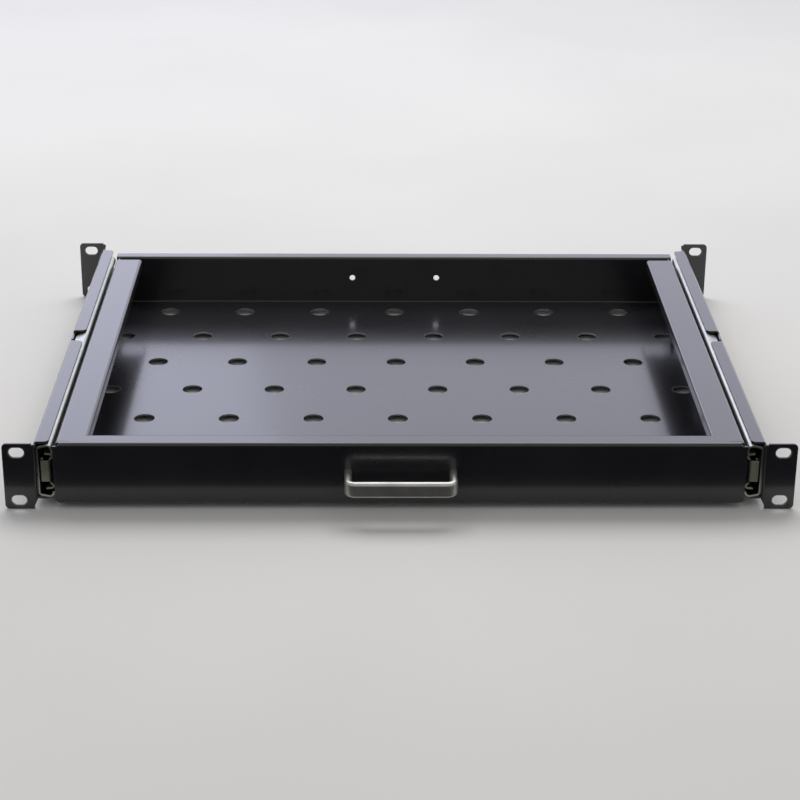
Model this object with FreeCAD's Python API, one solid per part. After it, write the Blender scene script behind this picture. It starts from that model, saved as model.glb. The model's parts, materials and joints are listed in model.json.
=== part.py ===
import FreeCAD, Part
import os
from math import cos, radians, sin, tan

from FreeCAD import Vector

# Sliding rack shelf, one rack unit high, in millimetres.
# X runs across the rack, Y from front to rear, Z up. The origin is the centre of the four slots
# of the front ears, on the ears' front face.

# Rack ears
rack_width = 482.6
ear_height = 43.65
ear_reach = 18.55
ear_corner_radius = 3.0
ear_to_ear = 373.4
ear_inner_step = 2.2
slot_edge_x = 8.75
slot_edge_z = 5.95
slot_length = 10.0
slot_width = 7.0

# Brackets
bracket_sheet = 1.5
bracket_bend = 0.5
bracket_flange = 9.0
flange_corner_radius = 3.0
front_flange_start = 5.5
front_flange_length = 166.5
front_tongue = 6.0
rear_flange_start = 14.4
rear_tongue = 11.0
bracket_gap = 2.0
adjust_travel = 60.0
adjust_clearance = 0.1

# Ball slides
slide_rise = 1.7
slide_height = 34.8
slide_room = 12.2
slide_thickness = 10.0
slide_sheet = 1.2
slide_bend = 0.9
slide_front = 4.0
slide_length = 346.0
slide_seat_gap = 0.3
ramp_slope = 12.0
lip_angle = 8.0
race_cup = 35.0
bulge_height = 1.4
bulge_bend = 0.9
bulge_return = 45.0
return_bend = 0.3
tab_bend = 1.0
front_tab_height = 14.0
front_tab_gap = 1.1
rear_tab_height = 10.0
tab_relief = 0.4
stop_gap = 0.3
tray_travel = 250.0

# Balls and cages
ball_diameter = 4.0
ball_inset = 6.6
ball_clearance = 0.12
ball_pitch = 11.8
cage_sheet = 0.6
cage_bend = 0.3
cage_inset = 1.8
cage_end_margin = 5.5
cage_tilt = 5.0
finger_reach = 0.8
pocket_clearance = 0.1
stop_dimple_radius = 1.2
stop_dimple_height = 1.0
stop_dimple_offset = 3.0
stop_dimple_setback = 12.0
bumper_length = 8.5
bumper_height = 9.0
bumper_width = 5.0
bumper_edge = 1.0

# Tray
tray_sheet = 1.2
tray_bend = 0.8
tray_bottom = -18.4
tray_top = 22.0
tray_depth = 351.0
rear_wall_top = 18.75
front_flange = 12.0
rear_flange = 7.1
side_flange = 19.1
side_lip = 7.0
corner_notch = 17.0
wall_overlap = 1.6
corner_chamfer = 2.5
seam_setback = 3.6
seam_length = 8.5
seam_width = 0.3
floor_hole_diameter = 14.0
floor_hole_rows = 7
floor_holes_in_odd_row = 7
floor_hole_side = 9.65
floor_hole_front = 27.4
floor_hole_rear = 23.6
rear_hole_diameter = 4.3
rear_hole_span = 64.0
rear_hole_height = 2.2

# Pull handle
handle_span = 64.0
handle_thickness = 4.5
handle_height = 10.0
handle_projection = 21.5
handle_bend = 2.2
handle_edge = 2.1
handle_rise = 0.4
handle_screw_depth = 9.0

# Fasteners
screw_diameter = 4.0
screw_clearance = 0.05
hole_play = 0.25
front_screw_head_diameter = 8.0
front_screw_head_height = 1.9
clamp_screw_head_diameter = 7.6
clamp_screw_head_height = 1.5
washer_diameter = 9.0
washer_thickness = 0.5
tray_screw_head_diameter = 7.0
tray_screw_head_height = 1.8
handle_screw_diameter = 3.0
handle_screw_head_diameter = 6.0
handle_screw_head_height = 1.8
handle_screw_end_play = 0.5
head_edge = 0.7
front_screw_setback = 30.0
front_screw_end = 32.0
clamp_screw_end = 28.0
clamp_screw_spacing = 60.0
tray_screw_setback = 36.0
tray_screw_end = 50.0
pad_radius = 4.5

# Places worked out from the sizes above
slot_span_x = rack_width - 2 * slot_edge_x
slot_span_z = ear_height - 2 * slot_edge_z
web_outer = rack_width / 2 - ear_reach
web_inner = web_outer - bracket_sheet
front_flange_end = front_flange_start + front_flange_length
rear_bracket_front = front_flange_end + front_tongue + bracket_gap
rear_flange_length = ear_to_ear - rear_flange_start - rear_tongue - rear_bracket_front
slide_rear = slide_front + slide_length
inner_web_face = slide_thickness - bulge_height
pad_height = slide_room - inner_web_face
tray_half = web_inner - slide_room
tray_inner = tray_half - tray_sheet
flat_half = tray_half - tray_sheet - tray_bend
rear_wall_face = tray_depth - tray_sheet
floor_hole_pitch_x = 2 * (flat_half - floor_hole_side) / floor_holes_in_odd_row
floor_hole_pitch_y = (tray_depth - floor_hole_front - floor_hole_rear) / (floor_hole_rows - 1)
ball_radius = ball_diameter / 2
race_radius = ball_radius + ball_clearance
race_middle = race_radius + slide_sheet / 2
ball_rise = slide_height / 2 - slide_sheet - race_radius
inner_front = slide_front
outer_tab_face = slide_rear - slide_sheet
bumper_face = outer_tab_face - bumper_length
inner_rear = bumper_face - stop_gap
dimple_y = slide_front + stop_dimple_setback
cage_front = dimple_y + stop_dimple_radius + stop_gap + tray_travel / 2
cage_room = inner_rear - slide_sheet - stop_gap - tray_travel / 2 - cage_front
balls_in_row = 1 + int((cage_room - 2 * cage_end_margin) / ball_pitch)
screw_radius = screw_diameter / 2
handle_screw_radius = handle_screw_diameter / 2
front_screw_places = (front_screw_setback, front_flange_end - front_screw_end)
clamp_screw_rear = slide_rear - clamp_screw_end
clamp_screw_places = (clamp_screw_rear - clamp_screw_spacing, clamp_screw_rear)
tray_screw_front = slide_front + tray_screw_setback
tray_screw_rear = slide_rear - tray_screw_end
tray_screw_places = (tray_screw_front, (tray_screw_front + tray_screw_rear) / 2, tray_screw_rear)
LEFT_TO_RIGHT = Vector(1, 0, 0)
FRONT_TO_REAR = Vector(0, 1, 0)
UPWARDS = Vector(0, 0, 1)
ORIGIN = Vector(0, 0, 0)
same_place = 1e-4


def slide_section(depth, rise):
    """Point of a slide's section: depth from the bracket's web towards the tray, rise from its middle."""
    return Vector(web_inner - depth, 0, slide_rise + rise)


def slide_plan(depth, y):
    """Point of a slide seen from above, at the height of its middle."""
    return Vector(web_inner - depth, y, slide_rise)


def side_section(x, z):
    return Vector(x, 0, z)


def end_section(y, z):
    return Vector(0, y, z)


def plan(x, y):
    return Vector(x, y, 0)


def folded_face(start, heading, steps, thickness, to_space):
    """Section of a folded sheet along its middle line.

    Each step is ("flat", length) or ("bend", middle radius, turn), the turn in degrees and left positive.
    """
    half = thickness / 2
    x, y = start
    angle = radians(heading)
    left_edges = []
    right_edges = []

    def beside(px, py, direction, offset):
        return to_space(px - offset * sin(direction), py + offset * cos(direction))

    first_left = beside(x, y, angle, half)
    first_right = beside(x, y, angle, -half)
    for step in steps:
        if step[0] == "flat":
            next_x = x + step[1] * cos(angle)
            next_y = y + step[1] * sin(angle)
            for edges, offset in ((left_edges, half), (right_edges, -half)):
                begin = beside(x, y, angle, offset)
                end = beside(next_x, next_y, angle, offset)
                edges.append(Part.makeLine(begin, end))
            next_angle = angle
        else:
            side = 1 if step[2] > 0 else -1
            centre_x = x - side * step[1] * sin(angle)
            centre_y = y + side * step[1] * cos(angle)
            next_angle = angle + radians(step[2])
            middle_angle = (angle + next_angle) / 2
            for edges, offset in ((left_edges, half), (right_edges, -half)):
                arm = offset - side * step[1]
                points = [beside(centre_x, centre_y, a, arm) for a in (angle, middle_angle, next_angle)]
                edges.append(Part.Arc(*points).toShape())
            next_x = centre_x + side * step[1] * sin(next_angle)
            next_y = centre_y - side * step[1] * cos(next_angle)
        x, y, angle = next_x, next_y, next_angle
    last_left = beside(x, y, angle, half)
    last_right = beside(x, y, angle, -half)
    caps = [Part.makeLine(last_left, last_right), Part.makeLine(first_right, first_left)]
    edges = Part.sortEdges(left_edges + right_edges + caps)[0]
    return Part.Face(Part.Wire(edges))


def block(low, high):
    """Box between two corners."""
    size = Vector(*high) - Vector(*low)
    return Part.makeBox(size.x, size.y, size.z, Vector(*low))


def rod(radius, length, centre, direction):
    return Part.makeCylinder(radius, length, Vector(*centre), direction)


def slotted_rod(width, length, centre, run, depth, direction):
    """Cutter for a slot with round ends: run is the slot's long way, direction the way it is cut."""
    across = direction.cross(run)
    reach = (length - width) / 2
    corner = centre - run * reach - across * (width / 2)
    outline = [corner, corner + run * 2 * reach]
    outline += [outline[1] + across * width, corner + across * width]
    bar = Part.Face(Part.makePolygon(outline + [corner])).extrude(direction * depth)
    ends = [Part.makeCylinder(width / 2, depth, centre + run * side * reach, direction) for side in (-1, 1)]
    return bar.multiFuse(ends)


def mirrored(shape):
    """The same piece on the other side of the rack."""
    return shape.mirror(ORIGIN, LEFT_TO_RIGHT)


def upright_edges(shape, x, y):
    """Edges that run along Z through a place in the plan."""
    found = []
    for edge in shape.Edges:
        ends = [vertex.Point for vertex in edge.Vertexes]
        if len(ends) == 2 and all(abs(p.x - x) < same_place and abs(p.y - y) < same_place for p in ends):
            found.append(edge)
    return found


def mirror_halves(half):
    """Whole slide profile from its upper half."""
    lower = half.mirror(Vector(0, 0, slide_rise), UPWARDS)
    return half.fuse(lower).removeSplitter()


def screw(head_diameter, head_height, shank_radius, shank_length, seat, inwards):
    """Pan-head screw: its head bears on the seat and its shank runs inwards."""
    head_radius = head_diameter / 2
    crown = min(head_edge, head_height / 2)
    points = [Vector(0, 0, shank_length), Vector(shank_radius - crown / 2, 0, shank_length)]
    points += [Vector(shank_radius, 0, shank_length - crown / 2), Vector(shank_radius, 0, 0)]
    points += [Vector(head_radius, 0, 0), Vector(head_radius, 0, crown - head_height)]
    points += [Vector(head_radius - crown, 0, -head_height), Vector(0, 0, -head_height)]
    outline = Part.Face(Part.makePolygon(points + [points[0]]))
    turned = outline.revolve(ORIGIN, UPWARDS, 360)
    turned.Placement = FreeCAD.Placement(Vector(*seat), FreeCAD.Rotation(UPWARDS, inwards))
    return turned


def ear_corner_edges(ear, ear_outer):
    """The two short edges through the ear's sheet at its outer corners."""
    found = []
    for edge in ear.Edges:
        ends = [vertex.Point for vertex in edge.Vertexes]
        along_y = abs(ends[0].x - ends[-1].x) < same_place and abs(ends[0].z - ends[-1].z) < same_place
        if along_y and abs(ends[0].x - ear_outer) < same_place:
            found.append(edge)
    return found


def rack_bracket(web_face, flange_start, flange_length, tongue):
    """Right-hand bracket with its ear's face at y = 0 and its channel running to +Y.

    web_face is the face of the web that looks at the slide.
    """
    half_sheet = bracket_sheet / 2
    middle_bend = bracket_bend + half_sheet
    outer_bend = bracket_bend + bracket_sheet
    inside = slide_height / 2 + slide_seat_gap
    top = slide_rise + inside + bracket_sheet
    bottom = slide_rise - inside - bracket_sheet
    web_low = bottom + outer_bend
    web_high = top - outer_bend
    web_back = web_face + bracket_sheet
    flange_edge = web_back - bracket_flange
    flange_end = flange_start + flange_length
    flange_flat = bracket_flange - outer_bend
    steps = [("flat", flange_flat), ("bend", middle_bend, 90), ("flat", web_high - web_low)]
    steps += [("bend", middle_bend, 90), ("flat", flange_flat)]
    channel = folded_face((flange_edge, bottom + half_sheet), 0, steps, bracket_sheet, side_section)
    channel.translate(Vector(0, flange_start, 0))
    channel = channel.extrude(Vector(0, flange_length, 0))
    corners = upright_edges(channel, flange_edge, flange_start)
    corners += upright_edges(channel, flange_edge, flange_end)
    channel = channel.makeFillet(flange_corner_radius, corners)

    ear_outer = rack_width / 2
    bend_line = web_face + outer_bend
    steps = [("flat", ear_outer - bend_line), ("bend", middle_bend, -90)]
    steps += [("flat", flange_start - outer_bend)]
    ear = folded_face((ear_outer, half_sheet), 180, steps, bracket_sheet, plan)
    ear.translate(Vector(0, 0, -ear_height / 2))
    ear = ear.extrude(Vector(0, 0, ear_height))
    ear = ear.makeFillet(ear_corner_radius, ear_corner_edges(ear, ear_outer))

    relief_low = ear_inner_step - ear_height / 2
    diagonal = [Vector(bend_line, 0, relief_low), Vector(web_face, 0, web_low)]
    diagonal += [Vector(web_face, 0, -ear_height), Vector(bend_line, 0, -ear_height)]
    below_bend = Part.Face(Part.makePolygon(diagonal + [diagonal[0]])).extrude(Vector(0, flange_start, 0))
    above_bend = block((web_face, 0, top), (bend_line, flange_start, ear_height))
    above_web = block((web_face, outer_bend, web_high), (bend_line, flange_start, ear_height))
    below_web = block((web_face, outer_bend, -ear_height), (bend_line, flange_start, web_low))
    ear = ear.cut([below_bend, above_bend, above_web, below_web])

    tongue_plate = block((web_face, flange_end, web_low), (web_back, flange_end + tongue, web_high))
    bracket = channel.multiFuse([ear, tongue_plate]).removeSplitter()
    slots = []
    through = 3 * bracket_sheet
    for side in (-1, 1):
        centre = Vector(slot_span_x / 2, -bracket_sheet, side * slot_span_z / 2)
        slots.append(slotted_rod(slot_width, slot_length, centre, LEFT_TO_RIGHT, through, FRONT_TO_REAR))
    return bracket.cut(slots)


def front_bracket():
    bracket = rack_bracket(web_inner, front_flange_start, front_flange_length, front_tongue)
    holes = []
    for y in front_screw_places:
        centre = (web_inner - bracket_sheet, y, slide_rise)
        holes.append(rod(screw_radius + hole_play, 3 * bracket_sheet, centre, LEFT_TO_RIGHT))
    return bracket.cut(holes)


def rear_bracket():
    """Rear bracket, with one long slot so that it can be moved back along the slide and clamped."""
    web_face = web_inner + adjust_clearance
    bracket = rack_bracket(web_face, rear_flange_start, rear_flange_length, rear_tongue)
    bracket = bracket.mirror(ORIGIN, FRONT_TO_REAR)
    bracket.translate(Vector(0, ear_to_ear, 0))
    slot_front = min(clamp_screw_places) - adjust_travel
    slot_rear = max(clamp_screw_places)
    width = screw_diameter + 2 * hole_play
    centre = Vector(web_face - bracket_sheet, (slot_front + slot_rear) / 2, slide_rise)
    length = slot_rear - slot_front + width
    return bracket.cut(slotted_rod(width, length, centre, FRONT_TO_REAR, 3 * bracket_sheet, LEFT_TO_RIGHT))


def bent_tab(middle_depth, sheet, end_y, rearwards, reach, height):
    """Tab bent out of a slide member's web at one of its ends, reaching across the slide to a depth."""
    middle_bend = tab_bend + sheet / 2
    way = 1 if rearwards else -1
    across = 1 if reach > middle_depth else -1
    turn = 90 if across * way < 0 else -90
    run = 3 * sheet
    start_y = end_y - way * (run + middle_bend + sheet / 2)
    flat = abs(reach - middle_depth) - middle_bend
    steps = [("flat", run), ("bend", middle_bend, turn), ("flat", flat)]
    face = folded_face((middle_depth, start_y), 90 * way, steps, sheet, slide_plan)
    face.translate(Vector(0, 0, -height / 2))
    return face.extrude(Vector(0, 0, height))


def tab_window(low_depth, high_depth, end_y, rearwards, height):
    """Cutter that clears a member's web beside a bent tab, with a relief at each side of it."""
    depth = tab_bend + 2 * slide_sheet
    half = height / 2 + tab_relief
    far = depth + slide_sheet
    low_y, high_y = (end_y - depth, end_y + far) if rearwards else (end_y - far, end_y + depth)
    low = (web_inner - high_depth, low_y, slide_rise - half)
    high = (web_inner - low_depth, high_y, slide_rise + half)
    return block(low, high)


def slide_outer_member():
    """Roll-formed channel on the brackets: its web ramps up to a lip that curls over each row of balls."""
    half_sheet = slide_sheet / 2
    bend = slide_bend + half_sheet
    slope = radians(ramp_slope)
    arc_start = radians(ramp_slope + 90)
    start_depth = ball_inset + race_middle * cos(arc_start)
    start_rise = ball_rise + race_middle * sin(arc_start)
    ramp = (start_depth - half_sheet - bend + bend * sin(slope)) / cos(slope)
    web_half = start_rise - ramp * sin(slope) - bend * cos(slope)
    steps = [("flat", web_half), ("bend", bend, ramp_slope - 90), ("flat", ramp)]
    steps += [("bend", race_middle, -(ramp_slope + 90 + lip_angle))]
    half = folded_face((half_sheet, 0), 90, steps, slide_sheet, slide_section)
    half.translate(Vector(0, slide_front, 0))
    member = mirror_halves(half.extrude(Vector(0, slide_length, 0)))
    tab_reach = ball_inset + ball_radius
    member = member.cut(tab_window(-slide_sheet, 2 * slide_sheet, slide_rear, True, rear_tab_height))
    member = member.fuse(bent_tab(half_sheet, slide_sheet, slide_rear, True, tab_reach, rear_tab_height))
    for side in (-1, 1):
        centre = slide_section(half_sheet, side * stop_dimple_offset) + Vector(0, dimple_y, 0)
        height = half_sheet + stop_dimple_height
        member = member.fuse(rod(stop_dimple_radius, height, centre, -LEFT_TO_RIGHT))
    holes = []
    for y in front_screw_places + clamp_screw_places:
        centre = slide_section(-slide_sheet, 0) + Vector(0, y, 0)
        holes.append(rod(screw_radius + screw_clearance, 3 * slide_sheet, centre, -LEFT_TO_RIGHT))
    return member.cut(holes).removeSplitter()


def slide_inner_member():
    """Roll-formed channel on the tray, with bulged corners and a cup under each row of balls.

    It stands off the tray's wall and meets it at drawn pads, one at each screw.
    """
    half_sheet = slide_sheet / 2
    web_depth = inner_web_face - half_sheet
    bulge = bulge_bend + half_sheet
    bend = return_bend + half_sheet
    lean = radians(bulge_return)
    bulge_depth = slide_thickness - half_sheet - bulge
    bulge_rise = ball_rise - race_middle - bulge
    slant = (bulge_depth + bulge * cos(lean) - web_depth - bend + bend * cos(lean)) / sin(lean)
    web_half = bulge_rise - bulge * sin(lean) - slant * cos(lean) - bend * sin(lean)
    steps = [("flat", web_half), ("bend", bend, -bulge_return), ("flat", slant)]
    steps += [("bend", bulge, 90 + bulge_return), ("flat", bulge_depth - ball_inset)]
    steps += [("bend", race_middle, -race_cup)]
    half = folded_face((web_depth, 0), 90, steps, slide_sheet, slide_section)
    half.translate(Vector(0, inner_front, 0))
    member = mirror_halves(half.extrude(Vector(0, inner_rear - inner_front, 0)))
    window_low = web_depth - slide_sheet
    window_high = web_depth + slide_sheet
    member = member.cut(tab_window(window_low, window_high, inner_front, False, front_tab_height))
    member = member.cut(tab_window(window_low, window_high, inner_rear, True, rear_tab_height))
    front_reach = slide_sheet + front_tab_gap
    rear_reach = cage_inset
    tabs = [bent_tab(web_depth, slide_sheet, inner_front, False, front_reach, front_tab_height)]
    tabs.append(bent_tab(web_depth, slide_sheet, inner_rear, True, rear_reach, rear_tab_height))
    pads = []
    hollows = []
    for y in tray_screw_places:
        seat = slide_section(slide_room, 0) + Vector(0, y, 0)
        pads.append(rod(pad_radius, pad_height + slide_sheet, seat, LEFT_TO_RIGHT))
        floor = seat + LEFT_TO_RIGHT * slide_sheet
        hollows.append(rod(pad_radius - slide_sheet, pad_height + slide_sheet, floor, LEFT_TO_RIGHT))
        hole = seat - LEFT_TO_RIGHT * slide_sheet
        hollows.append(rod(screw_radius + screw_clearance, 3 * slide_sheet, hole, LEFT_TO_RIGHT))
    return member.multiFuse(tabs + pads).cut(hollows).removeSplitter()


def ball_places():
    """Centres of the balls of the right-hand slide, two rows."""
    first = cage_front + cage_end_margin
    places = []
    for side in (-1, 1):
        for index in range(balls_in_row):
            along = Vector(0, first + index * ball_pitch, 0)
            places.append(slide_section(ball_inset, side * ball_rise) + along)
    return places


def ball_cage():
    """Pressed strip between the members, with fingers that space the balls of both rows."""
    half_sheet = cage_sheet / 2
    bend = cage_bend + half_sheet
    tilt = radians(cage_tilt)
    web_depth = cage_inset + half_sheet
    plate_depth = web_depth + bend - bend * sin(tilt)
    plate_rise = ball_rise - (ball_inset - plate_depth) * tan(tilt)
    web_half = plate_rise - bend * cos(tilt)
    plate = (ball_inset - plate_depth) / cos(tilt) + finger_reach
    steps = [("flat", web_half), ("bend", bend, cage_tilt - 90), ("flat", plate)]
    half = folded_face((web_depth, 0), 90, steps, cage_sheet, slide_section)
    half.translate(Vector(0, cage_front, 0))
    length = 2 * cage_end_margin + (balls_in_row - 1) * ball_pitch
    cage = mirror_halves(half.extrude(Vector(0, length, 0)))
    pockets = [Part.makeSphere(ball_radius + pocket_clearance, centre) for centre in ball_places()]
    return cage.cut(pockets)


def slide_balls():
    right = [Part.makeSphere(ball_radius, centre) for centre in ball_places()]
    return right + [mirrored(ball) for ball in right]


def slide_bumper():
    """Rubber block on the outer member's rear tab, which stops the inner member."""
    depth = ball_inset - bumper_width / 2
    low = slide_section(depth + bumper_width, -bumper_height / 2) + Vector(0, bumper_face, 0)
    bumper = Part.makeBox(bumper_width, bumper_length, bumper_height, low)
    front_face = min(bumper.Faces, key=lambda face: face.CenterOfMass.y)
    return bumper.makeFillet(bumper_edge, front_face.Edges)


def side_wall():
    """Right side wall with its floor bend, inward flange and lip, cut back at the rear corner."""
    half_sheet = tray_sheet / 2
    bend = tray_bend + half_sheet
    outer = tray_bend + tray_sheet
    wall = tray_top - tray_bottom - 2 * outer
    steps = [("bend", bend, 90), ("flat", wall), ("bend", bend, 90), ("flat", side_flange - 2 * outer)]
    steps += [("bend", bend, 90), ("flat", side_lip - outer)]
    front = outer
    rear = tray_depth - outer
    face = folded_face((flat_half, tray_bottom + half_sheet), 0, steps, tray_sheet, side_section)
    face.translate(Vector(0, front, 0))
    side = face.extrude(Vector(0, rear - front, 0))
    lip_face = tray_half - side_flange
    notch_front = tray_depth - corner_notch
    lip_back = lip_face + outer
    lip_low = tray_top - side_lip
    notch = block((lip_face, notch_front, rear_wall_top - tray_sheet), (tray_half, tray_depth, tray_top))
    lip_at_front = block((lip_face, 0, lip_low), (lip_back, front_flange, tray_top))
    lip_at_rear = block((lip_face, notch_front, lip_low), (lip_back, tray_depth, tray_top))
    side = side.cut([notch, lip_at_front, lip_at_rear])
    upright_low = tray_bottom + outer
    upright_high = rear_wall_top - outer
    ends = [block((tray_inner, tray_sheet, upright_low), (tray_half, front, tray_top - outer))]
    ends.append(block((tray_inner, rear, upright_low), (tray_half, rear_wall_face, upright_high)))
    return side.multiFuse(ends)


def wall_ends():
    """The front and rear walls' right ends with their bends, which overlap the side wall's edges."""
    half_sheet = tray_sheet / 2
    bend = tray_bend + half_sheet
    outer = tray_bend + tray_sheet
    end = tray_half + wall_overlap
    upright = tray_top - tray_bottom - 2 * outer
    steps = [("flat", upright), ("bend", bend, 90)]
    front = folded_face((half_sheet, tray_top - outer), 270, steps, tray_sheet, end_section)
    upright = rear_wall_top - tray_bottom - 2 * outer
    steps = [("bend", bend, 90), ("flat", upright), ("bend", bend, -90), ("flat", rear_flange - tray_bend)]
    rear = folded_face((tray_depth - outer, tray_bottom + half_sheet), 0, steps, tray_sheet, end_section)
    ends = []
    for face, inner_y, outer_y in ((front, outer, 0), (rear, tray_depth - outer, tray_depth)):
        face.translate(Vector(flat_half, 0, 0))
        plate = face.extrude(Vector(end - flat_half, 0, 0))
        corner = [Vector(end, outer_y, tray_bottom), Vector(end - corner_chamfer, outer_y, tray_bottom)]
        corner += [Vector(end, outer_y, tray_bottom + corner_chamfer)]
        chamfer = Part.Face(Part.makePolygon(corner + [corner[0]])).extrude(Vector(0, inner_y - outer_y, 0))
        ends.append(plate.cut(chamfer))
    return ends


def floor_holes():
    """Cutters for the staggered floor holes: every second row has one hole more."""
    cutters = []
    for row in range(floor_hole_rows):
        count = floor_holes_in_odd_row + row % 2
        y = floor_hole_front + row * floor_hole_pitch_y
        for index in range(count):
            x = (index - (count - 1) / 2) * floor_hole_pitch_x
            centre = (x, y, tray_bottom - tray_sheet)
            cutters.append(rod(floor_hole_diameter / 2, 3 * tray_sheet, centre, UPWARDS))
    return cutters


def wall_holes(span, diameter, y, z):
    """Cutters for a pair of holes through a front or rear wall."""
    return [rod(diameter / 2, 3 * tray_sheet, (side * span / 2, y - tray_sheet, z), FRONT_TO_REAR)
            for side in (-1, 1)]


def tray_pan():
    """Folded pan: front flange, front wall, floor, rear wall and rear flange in one strip, then the sides."""
    half_sheet = tray_sheet / 2
    bend = tray_bend + half_sheet
    outer = tray_bend + tray_sheet
    steps = [("flat", front_flange - outer), ("bend", bend, 90), ("flat", tray_top - tray_bottom - 2 * outer)]
    steps += [("bend", bend, 90), ("flat", tray_depth - 2 * outer), ("bend", bend, 90)]
    steps += [("flat", rear_wall_top - tray_bottom - 2 * outer), ("bend", bend, -90)]
    steps += [("flat", rear_flange - tray_bend)]
    strip = folded_face((front_flange, tray_top - half_sheet), 180, steps, tray_sheet, end_section)
    strip.translate(Vector(-flat_half, 0, 0))
    pan = strip.extrude(Vector(2 * flat_half, 0, 0))
    right = [side_wall()] + wall_ends()
    pan = pan.multiFuse(right + [mirrored(piece) for piece in right]).removeSplitter()
    cutters = floor_holes()
    cutters += wall_holes(handle_span, handle_screw_diameter + 2 * hole_play, tray_sheet / 2, handle_rise)
    cutters += wall_holes(rear_hole_span, rear_hole_diameter, rear_wall_face, rear_hole_height)
    seam = block((tray_half - seam_length, seam_setback, tray_top - 2 * tray_sheet),
                 (tray_half, seam_setback + seam_width, tray_top + tray_sheet))
    cutters += [seam, mirrored(seam)]
    for y in tray_screw_places:
        centre = (tray_inner - tray_sheet, y, slide_rise)
        hole = rod(screw_radius + hole_play, 3 * tray_sheet, centre, LEFT_TO_RIGHT)
        cutters += [hole, mirrored(hole)]
    return pan.cut(cutters)


def pull_handle():
    """Bow of flat strip with rounded edges, tapped from behind in both legs."""
    bend = handle_bend + handle_thickness / 2
    leg = handle_projection - handle_thickness / 2 - bend
    steps = [("flat", leg), ("bend", bend, 90), ("flat", handle_span - 2 * bend)]
    steps += [("bend", bend, 90), ("flat", leg)]
    face = folded_face((-handle_span / 2, 0), 270, steps, handle_thickness, plan)
    face.translate(Vector(0, 0, handle_rise - handle_height / 2))
    bow = face.extrude(Vector(0, 0, handle_height))
    rims = []
    for edge in bow.Edges:
        box = edge.BoundBox
        if box.ZLength < same_place and box.YMin < -same_place:
            rims.append(edge)
    bow = bow.makeFillet(handle_edge, rims)
    taps = []
    for side in (-1, 1):
        centre = (side * handle_span / 2, -handle_screw_depth, handle_rise)
        taps.append(rod(handle_screw_radius + screw_clearance, handle_screw_depth, centre, FRONT_TO_REAR))
    return bow.cut(taps)


def both_sides(pieces):
    return pieces + [mirrored(piece) for piece in pieces]


def front_bracket_screws():
    """Screws from outside through the front brackets into the outer members."""
    length = bracket_sheet + slide_sheet
    return both_sides([screw(front_screw_head_diameter, front_screw_head_height, screw_radius, length,
                             (web_outer, y, slide_rise), -LEFT_TO_RIGHT) for y in front_screw_places])


def rear_clamp_washers():
    seat = web_outer + 2 * adjust_clearance
    washers = []
    for y in clamp_screw_places:
        ring = rod(washer_diameter / 2, washer_thickness, (seat, y, slide_rise), LEFT_TO_RIGHT)
        bore = rod(screw_radius + screw_clearance, washer_thickness, (seat, y, slide_rise), LEFT_TO_RIGHT)
        washers.append(ring.cut(bore))
    return both_sides(washers)


def rear_clamp_screws():
    """Screws through the rear brackets' slots into the outer members, which clamp the brackets where set."""
    seat = web_outer + 2 * adjust_clearance + washer_thickness
    length = seat - web_inner + slide_sheet
    return both_sides([screw(clamp_screw_head_diameter, clamp_screw_head_height, screw_radius, length,
                             (seat, y, slide_rise), -LEFT_TO_RIGHT) for y in clamp_screw_places])


def tray_slide_screws():
    """Screws from inside the tray through its walls into the inner members' pads."""
    length = tray_sheet + pad_height + slide_sheet
    return both_sides([screw(tray_screw_head_diameter, tray_screw_head_height, screw_radius, length,
                             (tray_inner, y, slide_rise), LEFT_TO_RIGHT) for y in tray_screw_places])


def handle_screws():
    length = handle_screw_depth - handle_screw_end_play + tray_sheet
    return [screw(handle_screw_head_diameter, handle_screw_head_height, handle_screw_radius, length,
                  (side * handle_span / 2, tray_sheet, handle_rise), -FRONT_TO_REAR) for side in (-1, 1)]


def save(name, shape):
    pieces = shape if isinstance(shape, list) else [shape]
    solids = [solid for piece in pieces for solid in piece.Solids]
    whole = solids[0] if len(solids) == 1 else Part.makeCompound(solids)
    whole.exportStep(os.path.join("parts", name + ".step"))


os.makedirs("parts", exist_ok=True)
sided = {
    "front_bracket": front_bracket(),
    "rear_bracket": rear_bracket(),
    "slide_outer_member": slide_outer_member(),
    "slide_inner_member": slide_inner_member(),
    "ball_cage": ball_cage(),
    "slide_bumper": slide_bumper(),
}
for name, piece in sided.items():
    save("right_" + name, piece)
    save("left_" + name, mirrored(piece))
save("tray_pan", tray_pan())
save("pull_handle", pull_handle())
save("slide_balls", slide_balls())
save("front_bracket_screws", front_bracket_screws())
save("rear_clamp_washers", rear_clamp_washers())
save("rear_clamp_screws", rear_clamp_screws())
save("tray_slide_screws", tray_slide_screws())
save("handle_screws", handle_screws())
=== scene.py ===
import json
import math

import bmesh
import bpy
from mathutils import Matrix, Vector


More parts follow.
